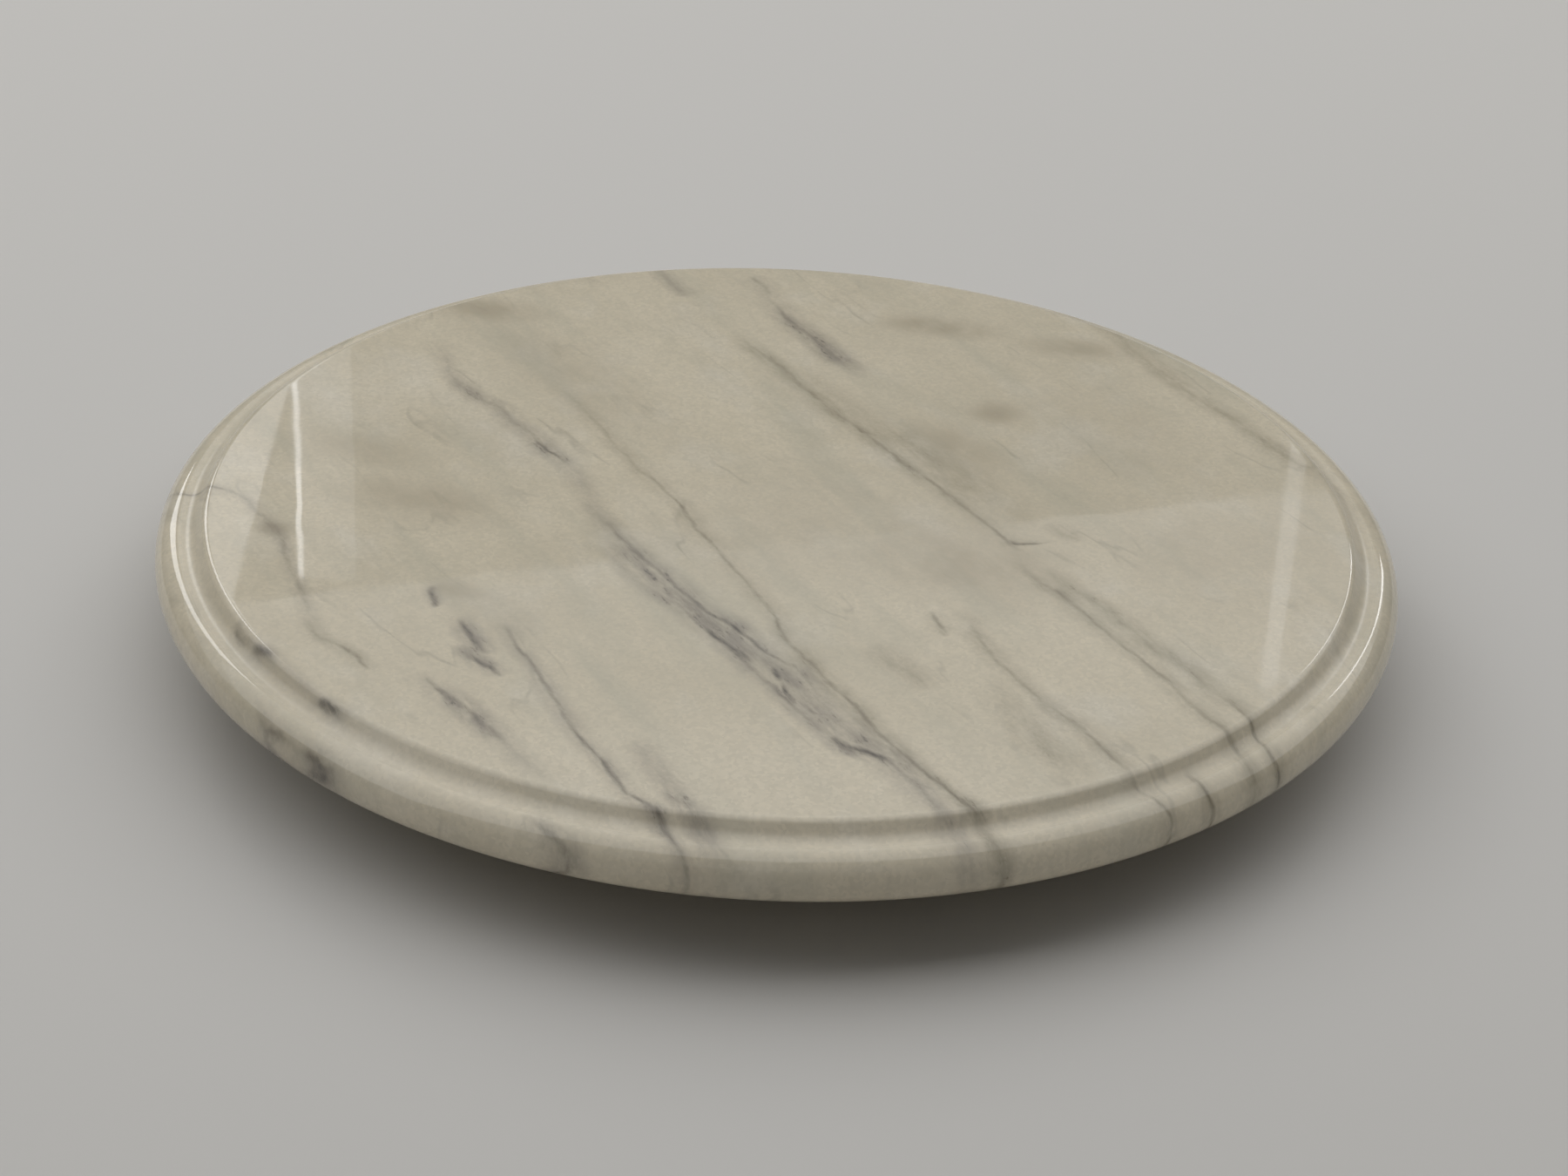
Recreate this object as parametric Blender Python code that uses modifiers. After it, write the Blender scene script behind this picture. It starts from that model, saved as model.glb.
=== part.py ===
"""A round marble slab with a moulded edge, kept off the bench by four stick-on rubber feet.

The origin is on the bench, under the centre of the slab. +Z is up, and lengths are in metres.
From the bench up come the feet, the adhesive discs that hold them, and the slab. The slab's
flat top is the surface that is worked on.
"""

import math

import bmesh
import bpy

OBJECT_NAME = "stone_slab_on_feet"

# Slab
SLAB_DIAMETER = 0.310
SLAB_THICKNESS = 0.016
STEP_HEIGHT = 0.0036  # from the nose's crest up to the flat top
EDGE_WIDTH = 0.0134  # from the slab's outside in to the rim of the flat top
STEP_SLOPE = 50.0  # degrees, how steep the step is half way down
ARRIS_RADIUS = 0.0026  # rounding between the flat top and the slope
COVE_RADIUS = 0.0044  # hollow between the slope and the nose

# Feet
FOOT_COUNT = 4
FOOT_INSET = 0.036  # from the slab's outside in to the foot's outside
FOOT_HEIGHT = 0.0165
FOOT_TOP_DIAMETER = 0.032
FOOT_SOLE_DIAMETER = 0.028
FOOT_TOP_ROUNDING = 0.0008
FOOT_SOLE_ROUNDING = 0.0020
RECESS_MOUTH_DIAMETER = 0.0130
RECESS_FLOOR_DIAMETER = 0.0100
RECESS_DEPTH = 0.0060

# Adhesive discs
DISC_THICKNESS = 0.0010
DISC_MARGIN = 0.0020  # bare rim that the disc leaves round the top of the foot

JOINT_GAP = 0.0003  # clearance between two bonded faces

# Worked out from the sizes above
SLAB_RADIUS = SLAB_DIAMETER / 2
DISC_BASE = FOOT_HEIGHT + JOINT_GAP
SLAB_BASE = DISC_BASE + DISC_THICKNESS + JOINT_GAP
FOOT_CIRCLE_RADIUS = SLAB_RADIUS - FOOT_INSET - FOOT_TOP_DIAMETER / 2

# Facets
SLAB_STEPS = 96
FOOT_STEPS = 32
DISC_STEPS = 32
MERGE_DISTANCE = 0.00001


def clear_scene():
    for thing in list(bpy.data.objects):
        bpy.data.objects.remove(thing, do_unlink=True)


def new_collection(name):
    collection = bpy.data.collections.new(name)
    bpy.context.scene.collection.children.link(collection)
    return collection


def new_material(name, colour, roughness, metallic=0.0):
    material = bpy.data.materials.new(name)
    material.use_nodes = True
    shader = material.node_tree.nodes["Principled BSDF"]
    shader.inputs["Base Color"].default_value = (*colour, 1.0)
    shader.inputs["Roughness"].default_value = roughness
    shader.inputs["Metallic"].default_value = metallic
    return material


def arc(centre, radius, start, end, segments):
    """Points (x, z) along an arc, both ends included. The angles are in degrees."""
    points = []
    for index in range(segments + 1):
        angle = math.radians(start + (end - start) * index / segments)
        x = centre[0] + radius * math.cos(angle)
        z = centre[1] + radius * math.sin(angle)
        points.append((x, z))
    return points


def profile_mesh(name, profile):
    """A chain of edges in the XZ plane, for a Screw modifier to turn about Z."""
    mesh = bpy.data.meshes.new(name)
    points = [(x, 0.0, z) for x, z in profile]
    edges = [(index, index + 1) for index in range(len(points) - 1)]
    mesh.from_pydata(points, edges, [])
    return mesh


def place(name, mesh, material, collection, position=(0.0, 0.0, 0.0)):
    piece = bpy.data.objects.new(name, mesh)
    piece.location = position
    if not mesh.materials:
        mesh.materials.append(material)
    collection.objects.link(piece)
    return piece


def turn(piece, steps):
    """Turns the piece's profile once about its Z axis."""
    screw = piece.modifiers.new("turned", "SCREW")
    screw.steps = steps
    screw.render_steps = steps
    screw.use_merge_vertices = True
    screw.merge_threshold = MERGE_DISTANCE
    screw.use_smooth_shade = True


def slab_profile():
    """Flat top, arris, slope and cove of the step, a full bullnose, and the flat underside."""
    top = SLAB_BASE + SLAB_THICKNESS
    rim = SLAB_RADIUS - EDGE_WIDTH
    crest = top - STEP_HEIGHT
    nose = (SLAB_THICKNESS - STEP_HEIGHT) / 2
    slope = math.radians(STEP_SLOPE)
    roundings = ARRIS_RADIUS + COVE_RADIUS
    slope_height = STEP_HEIGHT - roundings * (1 - math.cos(slope))
    step_width = roundings * math.sin(slope) + slope_height / math.tan(slope)
    points = [(0.0, top)]
    points += arc((rim, top - ARRIS_RADIUS), ARRIS_RADIUS, 90, 90 - STEP_SLOPE, 4)
    points += arc((rim + step_width, crest + COVE_RADIUS), COVE_RADIUS, 270 - STEP_SLOPE, 270, 4)
    points += arc((SLAB_RADIUS - nose, crest - nose), nose, 90, -90, 14)
    points.append((0.0, SLAB_BASE))
    return points


def foot_profile():
    """A tapered block with rounded rims and a tapered recess in its sole."""
    top = FOOT_TOP_DIAMETER / 2
    sole = FOOT_SOLE_DIAMETER / 2
    upper = (top - FOOT_TOP_ROUNDING, FOOT_HEIGHT - FOOT_TOP_ROUNDING)
    lower = (sole - FOOT_SOLE_ROUNDING, FOOT_SOLE_ROUNDING)
    points = [(0.0, FOOT_HEIGHT)]
    points += arc(upper, FOOT_TOP_ROUNDING, 90, 0, 2)
    points += arc(lower, FOOT_SOLE_ROUNDING, 0, -90, 4)
    points.append((RECESS_MOUTH_DIAMETER / 2, 0.0))
    points.append((RECESS_FLOOR_DIAMETER / 2, RECESS_DEPTH))
    points.append((0.0, RECESS_DEPTH))
    return points


def disc_mesh():
    """A flat round pad with its middle on the origin."""
    radius = FOOT_TOP_DIAMETER / 2 - DISC_MARGIN
    shape = bmesh.new()
    bmesh.ops.create_cone(
        shape,
        cap_ends=True,
        segments=DISC_STEPS,
        radius1=radius,
        radius2=radius,
        depth=DISC_THICKNESS,
    )
    mesh = bpy.data.meshes.new("adhesive_disc")
    shape.to_mesh(mesh)
    shape.free()
    mesh.shade_smooth()
    mesh.set_sharp_from_angle(angle=math.radians(30))
    return mesh


def make_slab(collection):
    marble = new_material("polished_marble", (0.67, 0.64, 0.57), 0.12)
    slab = place("stone_slab", profile_mesh("stone_slab", slab_profile()), marble, collection)
    turn(slab, SLAB_STEPS)


def make_feet(collection):
    rubber = new_material("moulded_rubber", (0.018, 0.018, 0.019), 0.75)
    foam = new_material("acrylic_foam", (0.09, 0.09, 0.095), 0.85)
    foot = profile_mesh("rubber_foot", foot_profile())
    disc = disc_mesh()
    for index in range(FOOT_COUNT):
        angle = 2 * math.pi * (index + 0.5) / FOOT_COUNT
        x = FOOT_CIRCLE_RADIUS * math.cos(angle)
        y = FOOT_CIRCLE_RADIUS * math.sin(angle)
        turn(place(f"rubber_foot_{index + 1}", foot, rubber, collection, (x, y, 0.0)), FOOT_STEPS)
        middle = DISC_BASE + DISC_THICKNESS / 2
        place(f"adhesive_disc_{index + 1}", disc, foam, collection, (x, y, middle))


def main():
    clear_scene()
    parts = new_collection(OBJECT_NAME)
    make_slab(parts)
    make_feet(parts)


main()
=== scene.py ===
"""A round slab of veined marble with a moulded edge, on four stick-on rubber feet.

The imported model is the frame: metres, +Z up, the origin on the floor under the slab's centre.
Each piece made here stands for one of its solids and keeps inside that solid's box.
"""

import math

import bmesh
import bpy
from mathutils import Matrix, Quaternion, Vector


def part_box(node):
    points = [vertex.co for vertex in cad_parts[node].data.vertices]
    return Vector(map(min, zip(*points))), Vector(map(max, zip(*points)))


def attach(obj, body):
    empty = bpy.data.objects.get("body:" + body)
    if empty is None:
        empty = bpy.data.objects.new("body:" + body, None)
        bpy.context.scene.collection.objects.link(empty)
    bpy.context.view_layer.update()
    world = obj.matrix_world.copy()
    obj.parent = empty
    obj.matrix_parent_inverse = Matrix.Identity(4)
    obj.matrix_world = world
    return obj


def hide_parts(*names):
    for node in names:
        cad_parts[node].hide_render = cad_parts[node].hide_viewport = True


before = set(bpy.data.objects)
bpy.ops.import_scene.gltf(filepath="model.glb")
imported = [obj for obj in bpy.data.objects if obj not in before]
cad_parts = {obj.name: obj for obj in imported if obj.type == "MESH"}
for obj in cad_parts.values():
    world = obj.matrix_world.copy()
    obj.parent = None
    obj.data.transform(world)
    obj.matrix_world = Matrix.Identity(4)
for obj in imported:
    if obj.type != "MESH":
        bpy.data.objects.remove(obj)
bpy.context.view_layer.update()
SLAB_LOW, SLAB_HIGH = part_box("stone_slab")
SLAB_RADIUS, SLAB_BASE, SLAB_TOP = SLAB_HIGH.x, SLAB_LOW.z, SLAB_HIGH.z

MM = 0.001

# The slab's moulded edge
EDGE_WIDTH = 13.4 * MM  # outside to the rim of the flat top
STEP_HEIGHT = 3.6 * MM
STEP_SLOPE = 50.0  # degrees, how steep the step is half way down
ARRIS_RADIUS = 2.6 * MM
COVE_RADIUS = 4.4 * MM
COVE_MIDDLE = 9.0 * MM  # outside to the middle of the hollow
COVE_REACH = (2.6 * MM, 3.8 * MM)  # to both sides of its middle, where rough gives way to polished
HONED_HEIGHT = (0.3 * MM, 0.9 * MM)  # above the underside, where honed gives way to polished
FLAT_MARGIN = 0.4 * MM  # ring that keeps the flats' shading flat up to the mouldings
FLAT_RINGS = 6
SLAB_TURN_STEPS = 320

# The feet and the foam discs
FEET = 4
FOOT_TOP_ROUNDING = 0.8 * MM
FOOT_SOLE_ROUNDING = 2.0 * MM
FOOT_TAPER = 2.0 * MM  # how much smaller the sole's radius is than the top's
FOOT_COLLAR = 2.4 * MM  # straight collar above the taper
FOOT_COLLAR_STEP = 0.5 * MM
GRIP_RINGS = (11.0 * MM, 9.0 * MM)  # radii of the grooves in the sole
GRIP_RING_WIDTH = 0.8 * MM
GRIP_RING_DEPTH = 0.35 * MM
RECESS_MOUTH = 6.5 * MM
RECESS_MOUTH_ROUNDING = 0.5 * MM
RECESS_FLOOR = 5.0 * MM
RECESS_DEPTH = 6.0 * MM
FOOT_TURN_STEPS = 96
DISC_BULGE = 0.15 * MM
DISC_TURN_STEPS = 96

SHARP_ANGLE = 40.0  # degrees, from which an edge is shaded sharp
MERGE_DISTANCE = 0.002 * MM

# The studio
FLOOR_REACH = 6.0  # from the floor's middle to its sides
PANEL_HEIGHT = 1.60
PANEL_TURN = 17.0  # degrees, the overhead panels about the upright
CAMERA_PLACE = (0.0019, -0.7437, 0.4329)
CAMERA_TILT = 29.65  # degrees below level
CAMERA_ROLL = 2.75  # degrees
CAMERA_LENS = 77.2  # millimetres
CAMERA_SENSOR = 36.0  # millimetres wide

# The stone's pattern, in millimetres seen from above. The veins run this way round from +X.
BEDDING_TURN = 60.0
PATTERN_SPAN = 330.0

# Each vein: half width of its dark seam and of its stain, then points (x, y, seam, stain), the last
# two being strengths from 0 to 1. Violet veins hold iron oxide in a clay film, olive ones mica
# and clay.
VIOLET_VEINS = (
    # right side of the dark band, faint at first
    (1.1, 5.5, (
        (-98, 84, 0, 0), (-93, 75, 0.1, 0.3), (-88, 60, 0.1, 0.5), (-81, 50, 0.15, 0.7),
        (-74, 44, 0.15, 0.6), (-70, 36, 0.15, 0.5), (-65, 30, 0.4, 0.6), (-61, 23, 0.6, 0.8),
        (-57, 19, 0.45, 0.8), (-54, 13, 0.05, 0.45), (-50, 4, 0, 0.4), (-46, -8, 0.05, 0.4),
        (-41, -18, 0.3, 0.5), (-37, -25, 0.45, 0.7), (-31, -34, 0.45, 0.8), (-24, -44, 0.5, 0.85),
        (-17, -55, 0.7, 0.9), (-11, -61, 0.95, 1), (-7, -66, 0.7, 0.8), (-1, -74, 0.55, 0.6),
        (5, -80, 0.45, 0.6), (9, -86, 0.3, 0.5), (13, -94, 0.1, 0.4), (22, -108, 0, 0.3),
        (34, -126, 0, 0),
    )),
    # left side of the dark band
    (1.2, 5.0, (
        (-43, -24, 0, 0), (-40, -29, 0.05, 0.4), (-34, -41, 0.1, 0.65), (-27, -50, 0.15, 0.7),
        (-22, -55, 0.25, 0.7), (-16, -64, 0.4, 0.8), (-12, -70, 0.9, 0.8), (-7, -77, 0.6, 0.7),
        (-3, -84, 0.35, 0.6), (1, -89, 0.6, 0.7), (5, -96, 0.4, 0.7), (9, -102, 0.25, 0.6),
        (14, -109, 0.3, 0.7), (18, -114, 0.6, 1), (26, -118, 0.4, 1), (31, -124, 0.15, 0.8),
        (36, -133, 0.15, 0.7), (42, -143, 0.05, 0.6), (47, -152, 0, 0.3), (52, -162, 0, 0),
    )),
    # flecks along it
    (1.5, 3.0, ((-15, -65, 0, 0), (-12, -70, 0.9, 0.5), (-8, -74, 1, 0.5), (-5, -79, 0, 0))),
    (1.3, 2.8, (
        (0, -80, 0, 0), (1.5, -84, 1, 0.5), (2.5, -86, 0.2, 0.5), (4, -91, 1, 0.8), (6, -96, 0, 0.3),
    )),
    (1.0, 2.6, ((4, -88, 0, 0), (7, -94, 0.3, 0.5), (10, -99, 0.45, 0.6), (14, -100, 0, 0))),
    (2.0, 4.5, (
        (13, -108, 0, 0), (17, -112, 0.9, 0.8), (21, -114.5, 1, 1), (27, -118, 0.4, 0.8),
        (31, -123, 0, 0.3),
    )),
    # stain between the band's two sides
    (2.5, 8.0, (
        (-45, -12, 0, 0), (-40, -22, 0, 0.3), (-33, -36, 0.1, 0.75), (-25, -47, 0.15, 0.85),
        (-16, -60, 0.25, 1), (-7, -72, 0.2, 0.9), (2, -82, 0.2, 0.8), (10, -95, 0.15, 0.8),
        (17, -105, 0.15, 0.8), (24, -113, 0.1, 0.7), (31, -124, 0, 0.5), (38, -138, 0, 0.3),
        (44, -150, 0, 0),
    )),
    # left front seam
    (1.1, 4.4, (
        (-64, -64, 0, 0), (-61, -72, 0.3, 0.4), (-56, -82, 0.5, 0.5), (-51, -93, 0.45, 0.5),
        (-45, -107, 0.5, 0.5), (-40, -117, 0.6, 0.6), (-34, -127, 0.75, 0.7),
        (-30, -135, 0.6, 0.5), (-24, -141, 0.7, 0.7), (-20, -147, 0.6, 0.5),
        (-17, -152, 0.4, 0.4), (-14, -158, 0.3, 0.3),
    )),
    # stain to its right
    (1.8, 5.5, (
        (-30, -113, 0, 0), (-26, -122, 0.05, 0.5), (-21, -132, 0.1, 0.6), (-16, -141, 0.1, 0.9),
        (-10, -152, 0, 0.4),
    )),
    # short dark streak
    (1.5, 6.0, (
        (-80, -89, 0, 0), (-76, -96, 0.6, 0.4), (-72, -100, 0.8, 0.8), (-67, -106, 0.55, 1),
        (-63, -111, 0.45, 0.9), (-58, -118, 0.15, 0.45), (-52, -126, 0.1, 0.25),
        (-46, -135, 0, 0),
    )),
    # broken fleck above it, in two offset pieces
    (1.3, 5.2, (
        (-74, -64, 0, 0.1), (-72.5, -68, 0.6, 0.6), (-71, -71, 0.85, 0.9), (-68.5, -76, 0.55, 0.9),
        (-65.5, -81, 0, 0.2),
    )),
    (1.3, 4.8, (
        (-72, -76, 0, 0.1), (-70, -80, 0.35, 0.9), (-67, -84, 0.7, 1), (-64, -87, 0.8, 0.7),
        (-61, -90, 0, 0),
    )),
    (1.4, 3.6, (
        (-82, -50, 0, 0), (-81.5, -53, 0.5, 0.6), (-80.5, -57, 0.8, 0.6), (-79.5, -60, 0, 0),
    )),
    # blotches in the hollow of the moulding and on the nose
    (1.5, 4.0, (
        (-125, -70, 0, 0), (-123, -76, 0.5, 0.3), (-120, -79, 0.1, 0.3), (-117.5, -82.5, 0.9, 0.7),
        (-115, -85, 0.6, 0.6), (-111, -90, 0.05, 0.3), (-102, -101, 0.05, 0.3), (-99, -104, 0.9, 0.7),
        (-96.5, -106.5, 0.7, 0.6), (-93, -110, 0, 0.1), (-91, -113, 0, 0),
    )),
    (1.2, 3.8, (
        (-117, -98, 0, 0), (-113, -105, 0.3, 0.4), (-110, -108, 0.6, 0.5), (-105, -113, 0.1, 0.4),
        (-100, -118, 0.8, 0.8), (-95, -124, 0.1, 0.5), (-90, -132, 0, 0),
    )),
    (1.1, 4.0, (
        (-52, -140, 0, 0), (-47, -145, 0.4, 0.6), (-42, -148.5, 0.5, 0.7), (-38, -153, 0.1, 0.5),
        (-35, -158, 0, 0),
    )),
    # far stain, right of the middle
    (1.5, 7.0, (
        (-12, 136, 0, 0), (-8, 130, 0.4, 0.3), (-6, 122, 0.1, 0.25), (-3, 115, 0.2, 0.5),
        (0, 107, 0.35, 0.65), (4.5, 100, 0.3, 0.8), (9, 93, 0.25, 1), (13, 86, 0.2, 0.9),
        (17, 81, 0.05, 0.5), (22, 73, 0, 0),
    )),
    (1.8, 5.0, (
        (-41, 141, 0, 0), (-36, 132, 0.15, 0.55), (-32, 126, 0.15, 0.55), (-29, 120, 0, 0),
    )),
    # crooked seam in the pale left side
    (1.2, 3.6, (
        (-155, -1, 0, 0), (-150, -4, 0.45, 0.4), (-145, -5, 0.45, 0.4), (-139, -7, 0.35, 0.4),
        (-132, -12, 0.25, 0.4), (-127, -20, 0.2, 0.4), (-122, -28, 0.3, 0.5),
        (-118, -40, 0.25, 0.5), (-114, -50, 0.2, 0.4), (-110, -62, 0.15, 0.3),
        (-106, -72, 0, 0),
    )),
)
OLIVE_VEINS = (
    # long thin seam from the middle of the face to the front edge
    (1.05, 5.0, (
        (-62, 62, 0, 0), (-48, 37, 0.25, 0.35), (-40, 21, 0.3, 0.4), (-28, 2, 0.4, 0.4),
        (-23, -9, 0.7, 0.5), (-18, -20, 0.5, 0.4), (-11, -33, 0.5, 0.4), (-6, -43, 0.5, 0.4),
        (-1, -54, 0.55, 0.5), (4, -69, 0.65, 0.6), (10, -80, 0.7, 0.7), (16, -90, 0.7, 0.7),
        (22, -101, 0.65, 0.7), (27, -110, 0.7, 0.6), (32, -118, 0.75, 0.6), (38, -126, 0.75, 0.7),
        (42, -131, 0.95, 0.8), (46, -137, 0.45, 0.9), (52, -146, 0.25, 0.8), (58, -156, 0.1, 0.4),
    )),
    # seam across the right half, down to its hook
    (1.15, 5.5, (
        (-17, 100, 0, 0), (-12, 92, 0.15, 0.4), (-7, 85, 0.25, 0.6), (-1, 76, 0.3, 0.6),
        (4, 66, 0.25, 0.5), (8, 61, 0.4, 0.7), (15, 50, 0.4, 0.7), (21, 41, 0.45, 0.7),
        (27, 31, 0.45, 0.6), (33, 22, 0.5, 0.7), (40, 12, 0.5, 0.6), (46, 2, 0.6, 0.5),
        (51, -5, 0.65, 0.4), (55, -12, 0.75, 0.4), (57, -15.5, 0.65, 0.3), (59.5, -20, 0, 0.2),
    )),
    # broad shade along its right side
    (2.0, 12.0, (
        (-4, 84, 0, 0), (12, 58, 0, 0.35), (24, 44, 0, 0.4), (36, 30, 0, 0.55), (47, 14, 0, 0.5),
        (57, 0, 0, 0.25), (66, -12, 0, 0),
    )),
    # the hook
    (2.6, 7.0, (
        (56, -13.5, 0, 0), (58, -15.5, 0.9, 0.5), (61, -15.5, 1, 0.5), (64, -15, 0.7, 0.3),
        (66.5, -14.5, 0, 0),
    )),
    # the same seam, on from the hook to the edge
    (1.1, 5.5, (
        (58, -20, 0, 0), (62, -32, 0.2, 0.6), (66, -37, 0.3, 0.7), (70, -42, 0.65, 0.7),
        (76, -52, 0.55, 0.6), (81, -61, 0.5, 0.5), (87, -70, 0.55, 0.5), (93, -81, 0.45, 0.5),
        (98, -92, 0.5, 0.5), (103, -98, 0.7, 0.6), (107, -105, 0.5, 0.6), (111, -113, 0.2, 0.4),
        (115, -120, 0, 0),
    )),
    # its neighbour, darkest on the moulding
    (1.2, 5.5, (
        (64, -26, 0, 0), (72, -38, 0.05, 0.6), (77, -44, 0.1, 0.65), (82, -51, 0.15, 0.65),
        (88, -61, 0.15, 0.65), (96, -71, 0.1, 0.6), (101, -81, 0.15, 0.6), (106, -88, 0.45, 0.6),
        (109, -92, 0.8, 0.5), (112, -98, 1, 0.5), (115, -103, 1, 0.6), (118, -108, 1, 0.6),
    )),
    # seam left of the last pair
    (1.05, 5.0, (
        (44, -48, 0, 0), (47, -58, 0.2, 0.4), (50, -68, 0.35, 0.5), (55, -77, 0.3, 0.45),
        (60, -86, 0.35, 0.45), (66, -95, 0.3, 0.6), (71, -101, 0.4, 0.6), (76, -111, 0.5, 0.6),
        (80, -118, 0.5, 0.5), (85, -122, 0.5, 0.5), (88.5, -126, 0.7, 0.5), (92, -132, 0.5, 0.3),
    )),
    # faint stain beside it
    (1.8, 9.0, (
        (48, -76, 0, 0), (56, -96, 0.05, 0.5), (61, -106, 0.05, 0.6), (66, -115, 0, 0.4),
        (72, -126, 0, 0),
    )),
    # streak at the left of the face
    (1.2, 4.5, (
        (-110, -66, 0, 0), (-105, -76, 0.3, 0.5), (-100, -80, 0.45, 0.5), (-96, -83.5, 0.85, 0.6),
        (-94, -86, 0.75, 0.5), (-91, -90, 0, 0),
    )),
    # faint seam that follows the right edge
    (1.3, 6.0, (
        (76, 134, 0, 0), (83, 122, 0.1, 0.4), (90, 110, 0.15, 0.5), (96, 98, 0.15, 0.5),
        (102, 86, 0.2, 0.55), (108, 75, 0.15, 0.5), (116, 63, 0.15, 0.5), (122, 55, 0.2, 0.5),
        (128, 44, 0.2, 0.6), (133, 38, 0.1, 0.6), (140, 28, 0.1, 0.4), (148, 17, 0, 0.2),
    )),
    # small flecks
    (1.3, 4.5, ((37, -51, 0, 0), (39, -57, 0.7, 0.4), (41, -62, 0, 0))),
    (2.0, 7.0, ((23, -67, 0, 0), (28, -76, 0.2, 0.5), (32, -80, 0.25, 0.5), (36, -87, 0, 0))),
    (1.8, 5.5, ((67, -3, 0, 0), (70, -8, 0.2, 0.5), (74, -13, 0, 0))),
    (1.1, 4.5, (
        (92, -111, 0, 0), (96, -116, 0.8, 0.5), (99, -119, 0.9, 0.6), (102, -124, 0.4, 0.4),
        (105, -130, 0, 0),
    )),
)

# Brown clouds in the stone, and one faint darkening of the middle of the face: x, y, length, width, turn
# in degrees, strength
DARKER_AREAS = (
    (42, 108, 34, 13, -8, 0.7),
    (80, 98, 32, 13, -8, 0.55),
    (56, 56, 15, 13, 0, 0.6),
    (-84, 105, 34, 17, -12, 0.6),
    (-104, 17, 34, 15, -25, 0.4),
    (-89, -8, 44, 24, -15, 0.43),
    (-74, -52, 19, 9, -20, 0.55),
    (-123, -26, 10, 8, 0, 0.7),
    (45, -26, 60, 42, -20, 0.5),
    (46, 34, 36, 18, -58, 0.45),
    (90, 48, 70, 40, -50, 0.12),
    (-60, 70, 90, 30, -55, 0.25),
    # a broad, soft, faint darkening of the middle of the face
    (5, -10, 90, 64, 17, 0.2),
    (-66, -64, 30, 20, -60, 0.25),
    (108, -14, 60, 44, 17, 0.22),
)
# Paler areas, in the same way
PALE_AREAS = (
    (0, -130, 190, 60, 0, 0.35),
    (-105, 55, 50, 40, 0, 0.25),
)


def linear(hex_colour):
    """An sRGB hex colour as linear RGBA."""
    parts = [int(hex_colour[at : at + 2], 16) / 255 for at in (1, 3, 5)]
    turned = [p / 12.92 if p <= 0.04045 else ((p + 0.055) / 1.055) ** 2.4 for p in parts]
    return (*turned, 1.0)


def add(tree, kind, settings=None, inputs=None):
    """Adds a node with its settings. Each input gets a value or a link from another node's socket."""
    node = tree.nodes.new(kind)
    for name, value in (settings or {}).items():
        setattr(node, name, value)
    for key, value in (inputs or {}).items():
        if isinstance(value, bpy.types.NodeSocket):
            tree.links.new(value, node.inputs[key])
        else:
            node.inputs[key].default_value = value
    return node


def new_material(name):
    """A material with its node tree and its shader."""
    material = bpy.data.materials.new(name)
    material.use_nodes = True
    return material, material.node_tree, material.node_tree.nodes["Principled BSDF"]


def times(tree, first, second):
    """The product of two values, kept between 0 and 1."""
    return add(
        tree, "ShaderNodeMath", {"operation": "MULTIPLY", "use_clamp": True}, {0: first, 1: second}
    ).outputs[0]


def apart(tree, first, second):
    """How far two values are apart."""
    gap = add(tree, "ShaderNodeMath", {"operation": "SUBTRACT"}, {0: first, 1: second})
    return add(tree, "ShaderNodeMath", {"operation": "ABSOLUTE"}, {0: gap.outputs[0]}).outputs[0]


def highest(tree, masks):
    """The highest of the masks, point by point."""
    top = masks[0]
    for mask in masks[1:]:
        top = add(tree, "ShaderNodeMath", {"operation": "MAXIMUM"}, {0: top, 1: mask}).outputs[0]
    return top


def patches(tree, bed, size, low, high, least, most, detail=4.0):
    """Noise whose patches have this size in millimetres along, across and down. Its values from low to
    high are spread to least..most."""
    place = add(tree, "ShaderNodeMapping", None, {"Vector": bed, "Scale": [1 / side for side in size]})
    noise = add(
        tree, "ShaderNodeTexNoise", None,
        {"Vector": place.outputs[0], "Scale": 1.0, "Detail": detail, "Roughness": 0.58},
    )
    level = add(
        tree, "ShaderNodeMapRange", None, {0: noise.outputs[0], 1: low, 2: high, 3: least, 4: most}
    )
    return level.outputs[0]


def cloud_mask(tree, place, cloud):
    """A soft oval, from 0 outside to its strength in the middle."""
    x, y, length, width, turn, strength = cloud
    oval = add(
        tree, "ShaderNodeMapping", {"vector_type": "TEXTURE"},
        {
            "Vector": place,
            "Location": (x * MM, y * MM, 0.0),
            "Rotation": (0.0, 0.0, math.radians(turn)),
            "Scale": (length / 2 * MM, width / 2 * MM, 1.0),
        },
    )
    reach = add(tree, "ShaderNodeVectorMath", {"operation": "LENGTH"}, {0: oval.outputs[0]})
    inside = add(
        tree, "ShaderNodeMapRange", {"interpolation_type": "SMOOTHERSTEP"},
        {0: reach.outputs["Value"], 1: 0.0, 2: 1.6, 3: strength, 4: 0.0},
    )
    return inside.outputs[0]


def set_curve(curve, points):
    """Gives one curve of a curves node these points, smooth and without overshoot."""
    curve.points[0].location = points[0]
    curve.points[1].location = points[-1]
    for point in points[1:-1]:
        curve.points.new(*point)
    for point in curve.points:
        point.handle_type = "AUTO_CLAMPED"


def along_and_across(x, y):
    """A point of the face as fractions of the pattern's span, along and across the veins."""
    turn = math.radians(BEDDING_TURN)
    along = x * math.cos(turn) - y * math.sin(turn)
    across = x * math.sin(turn) + y * math.cos(turn)
    return along / PATTERN_SPAN + 0.5, across / PATTERN_SPAN + 0.5


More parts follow.
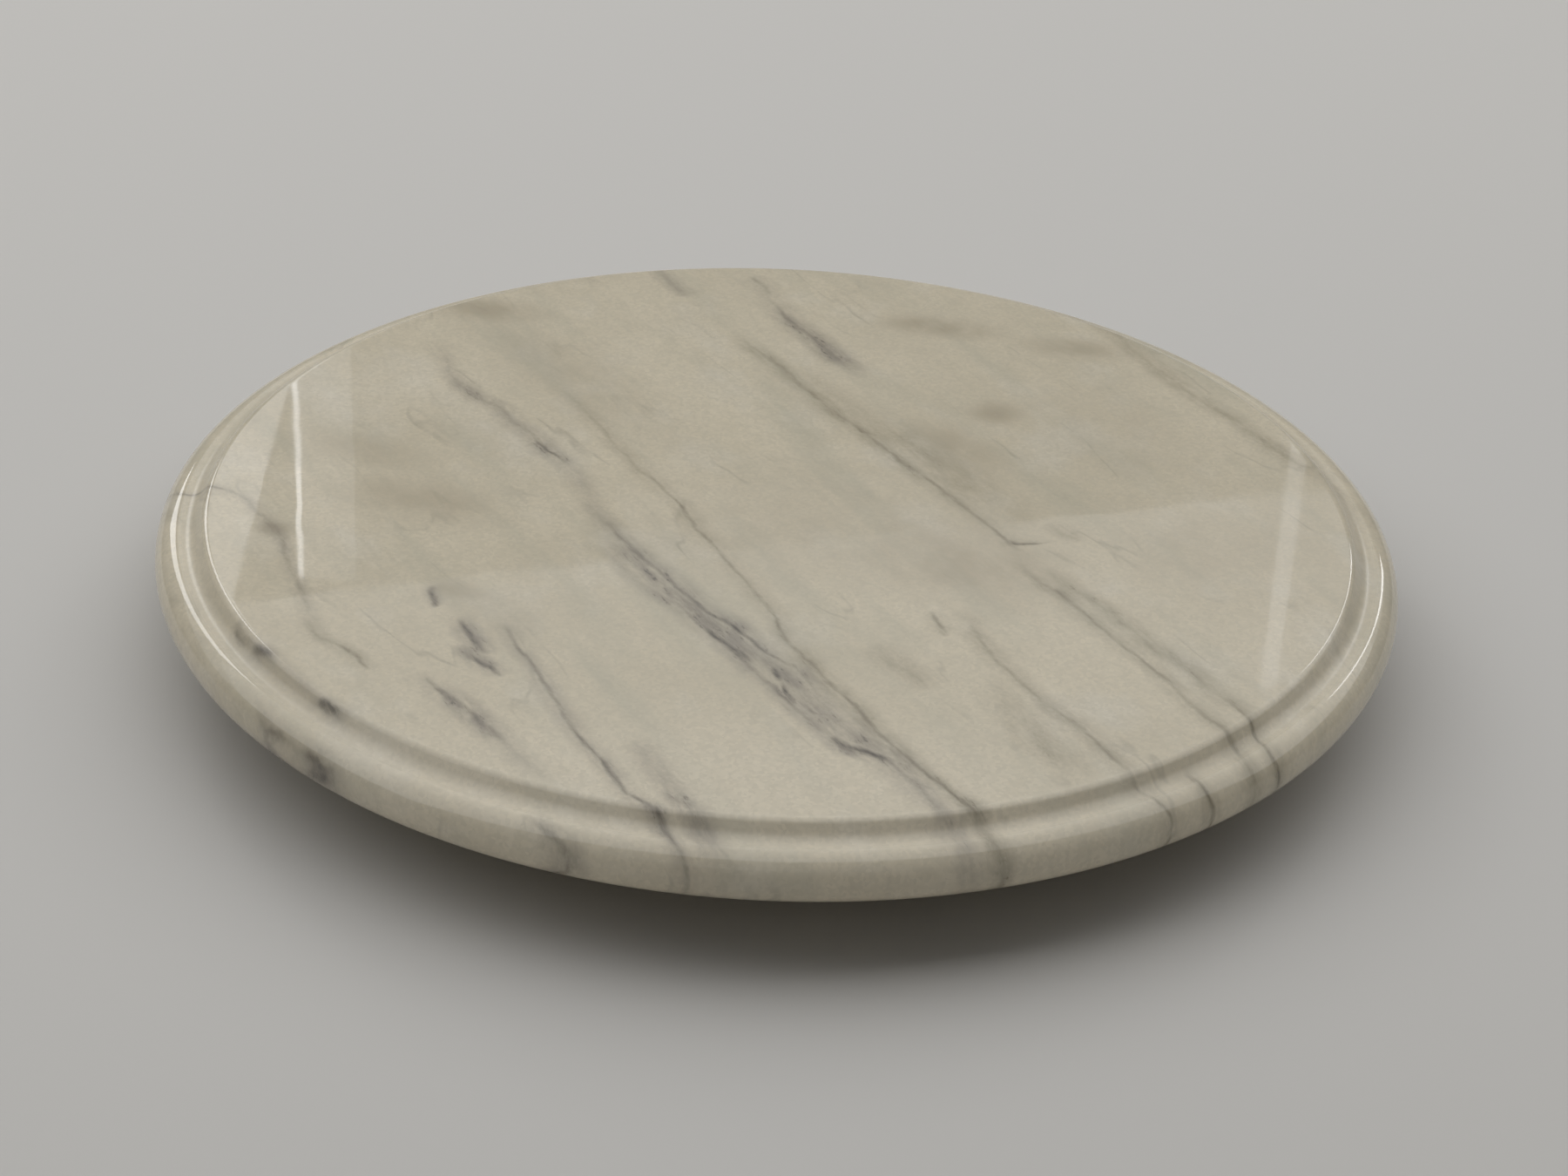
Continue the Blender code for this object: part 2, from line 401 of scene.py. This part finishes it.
def vein_masks(tree, along, across, vein):
    """The seam and the stain of one vein, each from 0 to 1."""
    seam_width, stain_width, points = vein
    places = [along_and_across(x, y) for x, y, _, _ in points]
    curves = add(tree, "ShaderNodeRGBCurve", None, {"Color": along})
    set_curve(curves.mapping.curves[0], places)
    set_curve(curves.mapping.curves[1], [(at[0], p[2]) for at, p in zip(places, points)])
    set_curve(curves.mapping.curves[2], [(at[0], p[3]) for at, p in zip(places, points)])
    curves.mapping.update()
    parts = add(tree, "ShaderNodeSeparateColor", None, {0: curves.outputs[0]})
    distance = apart(tree, across, parts.outputs[0])
    masks = []
    for width, strength in ((seam_width, parts.outputs[1]), (stain_width, parts.outputs[2])):
        near = add(
            tree, "ShaderNodeMapRange", {"interpolation_type": "SMOOTHSTEP"},
            {0: distance, 1: 0.0, 2: width / PATTERN_SPAN, 3: 1.0, 4: 0.0},
        )
        mask = add(tree, "ShaderNodeMath", {"operation": "MULTIPLY"}, {0: near.outputs[0], 1: strength})
        masks.append(mask.outputs[0])
    return masks


def stone_layers(tree, bed, place):
    """The stone between its veins, as pairs of a share and a tint: slow changes of tone, streaks along
    the bedding, pale and brown areas, crystals and hair seams."""
    smoke = patches(tree, bed, (14, 10, 12), 0.3, 0.6, 0.35, 1.0, 6.0)
    darker_areas = times(tree, highest(tree, [cloud_mask(tree, place, cloud) for cloud in DARKER_AREAS]), smoke)
    # The crystals are about 0.5 mm, and are drawn at 0.9 mm, the finest that shows.
    grain = add(tree, "ShaderNodeTexVoronoi", None, {"Vector": bed, "Scale": 1 / 0.9})
    grain_level = add(tree, "ShaderNodeSeparateColor", None, {0: grain.outputs["Color"]}).outputs[0]
    # The hair seams are faint and thin, and lie where a slow noise crosses its middle value.
    ridge_place = add(
        tree, "ShaderNodeMapping", None, {"Vector": bed, "Scale": (1 / 75, 1 / 20, 1 / 40)}
    )
    ridge = add(
        tree, "ShaderNodeTexNoise", None,
        {"Vector": ridge_place.outputs[0], "Scale": 1.0, "Detail": 3.0},
    )
    hair = add(
        tree, "ShaderNodeMapRange", {"interpolation_type": "SMOOTHSTEP"},
        {0: apart(tree, ridge.outputs[0], 0.5), 1: 0.0, 2: 0.02, 3: 0.3, 4: 0.0},
    )
    hair_places = patches(tree, bed, (30, 20, 20), 0.5, 0.65, 0.0, 1.0)
    return [
        (patches(tree, bed, (80, 60, 60), 0.36, 0.64, 0.0, 1.0), "#D3C9B2"),
        (patches(tree, bed, (75, 14, 40), 0.5, 0.74, 0.0, 0.6, 4.0), "#BDB9A6"),
        (patches(tree, bed, (34, 24, 26), 0.52, 0.74, 0.0, 0.6, 6.0), "#E0DACB"),
        (patches(tree, bed, (5, 3, 4), 0.35, 0.7, 0.0, 0.22, 5.0), "#BDB5A1"),
        (highest(tree, [cloud_mask(tree, place, area) for area in PALE_AREAS]), "#EFE6D2"),
        (darker_areas, "#A39781"),
        (times(tree, grain_level, 0.34), "#BAB3A0"),
        (times(tree, hair.outputs[0], hair_places), "#8F8A7C"),
    ]


def vein_layers(tree, bed):
    """The veins, as pairs of a share and a tint: the stains of each kind and then its dark seams."""
    axes = add(tree, "ShaderNodeSeparateXYZ", None, {0: bed})
    # The veins wander by half a millimetre or so over 11 mm, and less over shorter stretches.
    wander = patches(tree, bed, (11, 11, 11), 0.0, 1.0, -1.8, 1.8, 8.0)
    moved = add(tree, "ShaderNodeMath", {"operation": "ADD"}, {0: axes.outputs[1], 1: wander})
    span = {1: -PATTERN_SPAN / 2, 2: PATTERN_SPAN / 2, 3: 0.0, 4: 1.0}
    along = add(tree, "ShaderNodeMapRange", {"clamp": False}, {0: axes.outputs[0], **span}).outputs[0]
    across = add(tree, "ShaderNodeMapRange", {"clamp": False}, {0: moved.outputs[0], **span}).outputs[0]

    # Seams break up into dashes 7 mm long, stains feather out over 3 to 9 mm, and flecks of mica
    # 4 mm long lie where a stain is strong.
    dashes = patches(tree, bed, (7, 1.6, 5), 0.36, 0.62, 0.4, 1.15)
    feather = patches(tree, bed, (9, 3.2, 8), 0.3, 0.62, 0.3, 1.3, 8.0)
    flecks = patches(tree, bed, (4.0, 1.3, 2), 0.55, 0.68, 0.0, 1.0, 3.0)
    layers = []
    for veins, stain_share, stain_tint, seam_share, seam_tint in (
        (OLIVE_VEINS, 0.66, "#948C78", 0.62, "#5E5646"),
        (VIOLET_VEINS, 0.67, "#8B847B", 0.78, "#4A453F"),
    ):
        masks = [vein_masks(tree, along, across, vein) for vein in veins]
        stains = times(tree, highest(tree, [stain for _, stain in masks]), feather)
        seams = times(tree, highest(tree, [seam for seam, _ in masks]), dashes)
        stained = add(tree, "ShaderNodeMapRange", None, {0: stains, 1: 0.5, 2: 0.9, 3: 0.0, 4: 0.8})
        seams = highest(tree, [seams, times(tree, flecks, stained.outputs[0])])
        layers.append((times(tree, stains, stain_share), stain_tint))
        layers.append((times(tree, seams, seam_share), seam_tint))
    return layers


def marble_roughness(tree, bed, place, honed):
    """Polished everywhere but underneath, and less finely in the hollow of the moulding."""
    polish = patches(tree, bed, (35, 30, 30), 0.3, 0.7, 0.01, 0.04, 6.0)
    level_place = add(
        tree, "ShaderNodeVectorMath", {"operation": "MULTIPLY"}, {0: place, 1: (1.0, 1.0, 0.0)}
    )
    reach = add(tree, "ShaderNodeVectorMath", {"operation": "LENGTH"}, {0: level_place.outputs[0]})
    hollow = add(
        tree, "ShaderNodeMapRange", {"interpolation_type": "SMOOTHSTEP"},
        {
            0: apart(tree, reach.outputs["Value"], SLAB_RADIUS - COVE_MIDDLE),
            1: COVE_REACH[0], 2: COVE_REACH[1], 3: 0.28, 4: 0.0,
        },
    )
    polish = highest(tree, [polish, hollow.outputs[0]])
    return add(tree, "ShaderNodeMix", None, {0: honed, 2: polish, 3: 0.62}).outputs[0]


def marble_relief(tree, bed, honed):
    """Saw marks under the slab, 3 mm apart, and the faint waviness that polishing leaves."""
    # At a scale of 1 the wave texture draws 3.2 bands to a millimetre.
    saw = add(
        tree, "ShaderNodeTexWave", {"wave_type": "BANDS", "bands_direction": "X"},
        {"Vector": bed, "Scale": 1 / 3 / 3.2, "Distortion": 1.5, "Detail": 3.0, "Detail Scale": 0.4},
    )
    saw_bump = add(
        tree, "ShaderNodeBump", None,
        {"Height": times(tree, saw.outputs[1], honed), "Strength": 0.25, "Distance": 0.15 * MM},
    )
    waviness = patches(tree, bed, (40, 40, 40), 0.2, 0.8, 0.0, 1.0, 2.0)
    wave_bump = add(
        tree, "ShaderNodeBump", None,
        {"Height": waviness, "Strength": 0.04, "Distance": 0.4 * MM, "Normal": saw_bump.outputs[0]},
    )
    return wave_bump.outputs[0]


def polished_white_marble():
    """White calcite marble, sawn, turned and polished. The crystals give a soft milky white with a fine
    sugary grain; old clay seams give the violet and olive veins; the polish mirrors the room sharply.
    The underside is left as it was sawn and honed, so it is dull."""
    material, tree, shader = new_material("polished_white_marble")
    place = add(tree, "ShaderNodeTexCoord").outputs["Object"]
    bed = add(
        tree, "ShaderNodeMapping", None,
        {"Vector": place, "Rotation": (0.0, 0.0, math.radians(BEDDING_TURN)), "Scale": (1 / MM,) * 3},
    ).outputs[0]
    colour = linear("#DDD3BC")
    for share, tint in stone_layers(tree, bed, place) + vein_layers(tree, bed):
        mixed = add(
            tree, "ShaderNodeMix", {"data_type": "RGBA"}, {0: share, 6: colour, 7: linear(tint)}
        )
        colour = mixed.outputs[2]
    tree.links.new(colour, shader.inputs["Base Color"])

    height = add(tree, "ShaderNodeSeparateXYZ", None, {0: place}).outputs[2]
    honed = add(
        tree, "ShaderNodeMapRange", None,
        {
            0: height, 1: SLAB_BASE + HONED_HEIGHT[0], 2: SLAB_BASE + HONED_HEIGHT[1], 3: 1.0, 4: 0.0,
        },
    ).outputs[0]
    tree.links.new(marble_roughness(tree, bed, place, honed), shader.inputs["Roughness"])
    tree.links.new(marble_relief(tree, bed, honed), shader.inputs["Normal"])
    shader.inputs["IOR"].default_value = 1.49
    shader.inputs["Subsurface Weight"].default_value = 0.12
    shader.inputs["Subsurface Radius"].default_value = (1.0, 0.9, 0.7)
    shader.inputs["Subsurface Scale"].default_value = 2.0 * MM
    return material


def moulded_black_rubber():
    """Black EPDM rubber, hot moulded. Carbon black makes it nearly black; the mould's blasted skin makes
    it dull, and pale dust gathers on it near the floor."""
    material, tree, shader = new_material("moulded_black_rubber")
    place = add(tree, "ShaderNodeTexCoord").outputs["Object"]
    skin = add(
        tree, "ShaderNodeTexNoise", None, {"Vector": place, "Scale": 1 / (0.35 * MM), "Detail": 3.0}
    )
    dust = add(
        tree, "ShaderNodeTexNoise", None,
        {"Vector": place, "Scale": 1 / (9 * MM), "Detail": 7.0, "Roughness": 0.7},
    ).outputs[0]
    height = add(tree, "ShaderNodeSeparateXYZ", None, {0: place}).outputs[2]
    low = add(tree, "ShaderNodeMapRange", None, {0: height, 1: 0.0, 2: 5 * MM, 3: 0.75, 4: 0.1})
    dust_level = add(tree, "ShaderNodeMapRange", None, {0: dust, 1: 0.42, 2: 0.72, 3: 0.0, 4: 1.0})
    colour = add(
        tree, "ShaderNodeMix", {"data_type": "RGBA"},
        {
            0: times(tree, dust_level.outputs[0], low.outputs[0]),
            6: linear("#1D1D1E"),
            7: linear("#5E5B55"),
        },
    )
    tree.links.new(colour.outputs[2], shader.inputs["Base Color"])
    roughness = add(tree, "ShaderNodeMapRange", None, {0: dust, 1: 0.3, 2: 0.7, 3: 0.62, 4: 0.85})
    tree.links.new(roughness.outputs[0], shader.inputs["Roughness"])
    bump = add(
        tree, "ShaderNodeBump", None,
        {"Height": skin.outputs[0], "Strength": 0.35, "Distance": 0.05 * MM},
    )
    tree.links.new(bump.outputs[0], shader.inputs["Normal"])
    shader.inputs["IOR"].default_value = 1.5
    return material


def die_cut_acrylic_foam():
    """Closed-cell acrylic foam tape, die cut. Its cells of a third of a millimetre show on the cut side,
    and the face is dull dark grey."""
    material, tree, shader = new_material("die_cut_acrylic_foam")
    place = add(tree, "ShaderNodeTexCoord").outputs["Object"]
    cells = add(
        tree, "ShaderNodeTexVoronoi", {"feature": "F1"}, {"Vector": place, "Scale": 1 / (0.35 * MM)}
    ).outputs["Distance"]
    cell_level = add(tree, "ShaderNodeMapRange", None, {0: cells, 1: 0.1, 2: 0.7, 3: 0.0, 4: 1.0})
    colour = add(
        tree, "ShaderNodeMix", {"data_type": "RGBA"},
        {0: cell_level.outputs[0], 6: linear("#3A3A3C"), 7: linear("#626266")},
    )
    tree.links.new(colour.outputs[2], shader.inputs["Base Color"])
    roughness = add(tree, "ShaderNodeMapRange", None, {0: cells, 1: 0.0, 2: 1.0, 3: 0.78, 4: 0.92})
    tree.links.new(roughness.outputs[0], shader.inputs["Roughness"])
    bump = add(
        tree, "ShaderNodeBump", None,
        {"Height": cell_level.outputs[0], "Strength": 0.6, "Distance": 0.08 * MM},
    )
    tree.links.new(bump.outputs[0], shader.inputs["Normal"])
    return material


def start_section(x, z):
    """A new shape that holds the first point of a section in the XZ plane."""
    shape = bmesh.new()
    return shape, bmesh.ops.create_vert(shape, co=(x, 0.0, z))["vert"][0]


def line(shape, end, x, z):
    """Draws the section on from its end to a point, and returns the new end."""
    drawn = bmesh.ops.extrude_vert_indiv(shape, verts=[end])["verts"][0]
    bmesh.ops.translate(shape, verts=[drawn], vec=Vector((x, 0.0, z)) - drawn.co)
    return drawn


def arc(shape, end, centre, degrees, steps, flatten=1.0):
    """Draws the section on round a centre, +Z towards +X for positive degrees. flatten squashes the arc
    sideways towards its centre."""
    middle = Vector((centre[0], 0.0, centre[1]))
    before = set(shape.verts)
    made = bmesh.ops.spin(
        shape, geom=[end], cent=middle, axis=(0.0, 1.0, 0.0), angle=math.radians(degrees), steps=steps,
    )
    last = next(part for part in made["geom_last"] if isinstance(part, bmesh.types.BMVert))
    drawn = [vert for vert in shape.verts if vert not in before]
    bmesh.ops.scale(shape, vec=(flatten, 1.0, 1.0), space=Matrix.Translation(-middle), verts=drawn)
    return last


def turned(shape, steps, x=0.0, y=0.0):
    """Turns the section once about Z, closes it, and moves it to its place on the floor."""
    bmesh.ops.spin(
        shape, geom=shape.verts[:] + shape.edges[:], cent=(0.0, 0.0, 0.0), axis=(0.0, 0.0, 1.0),
        angle=2 * math.pi, steps=steps, use_merge=True,
    )
    bmesh.ops.remove_doubles(shape, verts=shape.verts[:], dist=MERGE_DISTANCE)
    bmesh.ops.recalc_face_normals(shape, faces=shape.faces[:])
    bmesh.ops.translate(shape, verts=shape.verts[:], vec=(x, y, 0.0))
    return shape


def finish_piece(name, shape, material, node):
    """Makes the shape a piece that stands for a solid and rides with the model."""
    mesh = bpy.data.meshes.new(name)
    shape.to_mesh(mesh)
    shape.free()
    mesh.shade_smooth()
    mesh.set_sharp_from_angle(angle=math.radians(SHARP_ANGLE))
    mesh.materials.append(material)
    piece = bpy.data.objects.new(name, mesh)
    bpy.context.scene.collection.objects.link(piece)
    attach(piece, "root")
    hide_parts(node)


def slab_shape():
    """The slab: flat top, rounded arris, sloping step with a hollow, full bullnose, flat underside."""
    rim = SLAB_RADIUS - EDGE_WIDTH
    crest = SLAB_TOP - STEP_HEIGHT
    nose = (crest - SLAB_BASE) / 2
    under_edge = SLAB_RADIUS - nose
    slope = math.radians(STEP_SLOPE)
    roundings = ARRIS_RADIUS + COVE_RADIUS
    slope_height = STEP_HEIGHT - roundings * (1 - math.cos(slope))
    slope_width = slope_height / math.tan(slope)
    cove_centre = rim + roundings * math.sin(slope) + slope_width
    shape, end = start_section(0.0, SLAB_TOP)
    for ring in range(1, FLAT_RINGS):
        end = line(shape, end, rim * ring / FLAT_RINGS, SLAB_TOP)
    end = line(shape, end, rim - FLAT_MARGIN, SLAB_TOP)
    end = line(shape, end, rim, SLAB_TOP)
    end = arc(shape, end, (rim, SLAB_TOP - ARRIS_RADIUS), STEP_SLOPE, 10)
    end = line(shape, end, end.co.x + slope_width, end.co.z - slope_height)
    end = arc(shape, end, (cove_centre, crest + COVE_RADIUS), -STEP_SLOPE, 12)
    end = line(shape, end, under_edge, crest)
    end = arc(shape, end, (under_edge, crest - nose), 180, 36)
    end = line(shape, end, under_edge - FLAT_MARGIN, SLAB_BASE)
    for ring in range(FLAT_RINGS - 1, -1, -1):
        end = line(shape, end, under_edge * ring / FLAT_RINGS, SLAB_BASE)
    return turned(shape, SLAB_TURN_STEPS)


def foot_shape(low, high):
    """A foot: straight collar, taper, rounded sole with two grip rings, and a recess for a screw head."""
    top, sole = high.z, low.z
    top_radius = (high.x - low.x) / 2
    sole_radius = top_radius - FOOT_TAPER
    shape, end = start_section(0.0, top)
    end = line(shape, end, top_radius - FOOT_TOP_ROUNDING, top)
    end = arc(shape, end, (top_radius - FOOT_TOP_ROUNDING, top - FOOT_TOP_ROUNDING), 90, 6)
    end = line(shape, end, top_radius, top - FOOT_COLLAR)
    end = line(shape, end, top_radius - FOOT_COLLAR_STEP, top - FOOT_COLLAR - FOOT_COLLAR_STEP)
    end = line(shape, end, sole_radius, sole + FOOT_SOLE_ROUNDING)
    end = arc(shape, end, (sole_radius - FOOT_SOLE_ROUNDING, sole + FOOT_SOLE_ROUNDING), 90, 8)
    half = GRIP_RING_WIDTH / 2
    for ring in GRIP_RINGS:
        end = line(shape, end, ring + half, sole)
        end = line(shape, end, ring + half / 2, sole + GRIP_RING_DEPTH)
        end = line(shape, end, ring - half / 2, sole + GRIP_RING_DEPTH)
        end = line(shape, end, ring - half, sole)
    mouth = RECESS_MOUTH + RECESS_MOUTH_ROUNDING
    end = line(shape, end, mouth, sole)
    end = arc(shape, end, (mouth, sole + RECESS_MOUTH_ROUNDING), 80, 4)
    end = line(shape, end, RECESS_FLOOR, sole + RECESS_DEPTH)
    line(shape, end, 0.0, sole + RECESS_DEPTH)
    return turned(shape, FOOT_TURN_STEPS, (low.x + high.x) / 2, (low.y + high.y) / 2)


def disc_shape(low, high):
    """A foam disc, pressed between foot and slab so that its cut side bulges."""
    radius = (high.x - low.x) / 2 - DISC_BULGE
    half = (high.z - low.z) / 2
    shape, end = start_section(0.0, high.z)
    end = line(shape, end, radius, high.z)
    end = arc(shape, end, (radius, low.z + half), 180, 10, DISC_BULGE / half)
    line(shape, end, 0.0, low.z)
    return turned(shape, DISC_TURN_STEPS, (low.x + high.x) / 2, (low.y + high.y) / 2)


def studio_floor():
    """A pale matt floor, far wider than the view."""
    shape = bmesh.new()
    bmesh.ops.create_grid(shape, x_segments=1, y_segments=1, size=FLOOR_REACH)
    mesh = bpy.data.meshes.new("studio_floor")
    shape.to_mesh(mesh)
    shape.free()
    material, _, shader = new_material("matt_floor_paint")
    shader.inputs["Base Color"].default_value = linear("#D0CECA")
    shader.inputs["Roughness"].default_value = 0.9
    mesh.materials.append(material)
    floor = bpy.data.objects.new("studio_floor", mesh)
    bpy.context.scene.collection.objects.link(floor)


def soft_light(name, place, aim, size, brightness, roll=0.0):
    """A rectangular softbox. brightness is how bright its face looks, and the power follows from
    its size. roll turns it in degrees about the way it faces."""
    lamp = bpy.data.lights.new(name, "AREA")
    lamp.shape = "RECTANGLE"
    lamp.size, lamp.size_y = size
    lamp.energy = brightness * size[0] * size[1] * math.pi
    facing = (Vector(aim) - Vector(place)).to_track_quat("-Z", "Y")
    light = bpy.data.objects.new(name, lamp)
    light.rotation_mode = "QUATERNION"
    light.rotation_quaternion = facing @ Quaternion((0.0, 0.0, 1.0), math.radians(roll))
    light.location = place
    light.visible_camera = False
    bpy.context.scene.collection.objects.link(light)


def studio_lights():
    """The panels. Most of them are placed for what they draw in the polish."""
    # Overhead panels, turned a little: how far each lies aside and behind, its size and its
    # brightness. The far panel ends part way up the slab's mirror image, where three narrow ones
    # fade its edge out in the middle. The bright key panel lies above and behind the slab, so the
    # near side of the edge is dark.
    turn = Matrix.Rotation(math.radians(PANEL_TURN), 3, "Z")
    for name, aside, behind, size, brightness in (
        ("key_panel", 0.0, 0.66, (6.0, 2.42), 1.0),
        ("far_panel", 0.0, 2.28, (6.0, 0.82), 0.54),
        ("fading_panel_1", 0.86, 2.73, (0.51, 0.08), 0.30),
        ("fading_panel_2", 0.86, 2.81, (0.42, 0.08), 0.20),
        ("fading_panel_3", 0.86, 2.89, (0.32, 0.08), 0.10),
    ):
        place = turn @ Vector((aside, behind, PANEL_HEIGHT))
        soft_light(name, place, (place.x, place.y, 0.0), size, brightness, PANEL_TURN)

    # Upright panels behind the slab that face forwards: place, size, brightness and lean
    for name, place, size, brightness, lean in (
        # thin lines in the polish
        ("left_strip", (-0.452, 2.0, 0.95), (0.005, 0.52), 3.0, 0.0),
        ("right_strip", (0.466, 2.0, 0.97), (0.016, 0.62), 0.7, 0.0),
        # pale patches on both sides of the left line
        ("left_leaning_panel", (-0.575, 2.0, 1.10), (0.18, 0.55), 1.1, -15.0),
        ("left_dim_panel", (-0.425, 2.0, 0.95), (0.05, 0.52), 0.38, 0.0),
        # bright lines along the edge
        ("left_panel", (-1.0, 1.72, 1.12), (0.4, 0.95), 3.0, 0.0),
        ("right_panel", (1.02, 1.77, 1.10), (0.14, 0.75), 4.5, 0.0),
    ):
        soft_light(name, place, (place[0], 0.0, place[2]), size, brightness, lean)

    # A long low strip behind the camera, for a faint second line on the near side of the nose
    soft_light("front_strip", (0.0, -2.0, 1.65), (0.0, -0.15, 0.03), (2.4, 0.05), 1.5)


def studio_air():
    """Faint even light from all round."""
    world = bpy.data.worlds.new("studio_air")
    world.use_nodes = True
    background = world.node_tree.nodes["Background"]
    background.inputs["Color"].default_value = linear("#FFFFFF")
    background.inputs["Strength"].default_value = 0.14
    bpy.context.scene.world = world


def portrait_camera():
    """A camera 0.84 m from the slab's middle, in front of it and tilted down. Its picture shows the
    colours plainly, without a film's contrast."""
    lens = bpy.data.cameras.new("portrait_camera")
    lens.lens, lens.sensor_width = CAMERA_LENS, CAMERA_SENSOR
    camera = bpy.data.objects.new("portrait_camera", lens)
    camera.location = CAMERA_PLACE
    camera.rotation_mode = "ZYX"
    camera.rotation_euler = (math.radians(90 - CAMERA_TILT), 0.0, math.radians(CAMERA_ROLL))
    bpy.context.scene.collection.objects.link(camera)
    bpy.context.scene.camera = camera
    bpy.context.scene.view_settings.view_transform = "Standard"


finish_piece("marble_slab", slab_shape(), polished_white_marble(), "stone_slab")
rubber, foam = moulded_black_rubber(), die_cut_acrylic_foam()
for number in range(1, FEET + 1):
    foot_node, disc_node = f"rubber_foot_{number}", f"adhesive_disc_{number}"
    foot, disc = foot_shape(*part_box(foot_node)), disc_shape(*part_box(disc_node))
    finish_piece(f"stick_on_foot_{number}", foot, rubber, foot_node)
    finish_piece(f"foam_disc_{number}", disc, foam, disc_node)
studio_floor()
studio_lights()
studio_air()
portrait_camera()
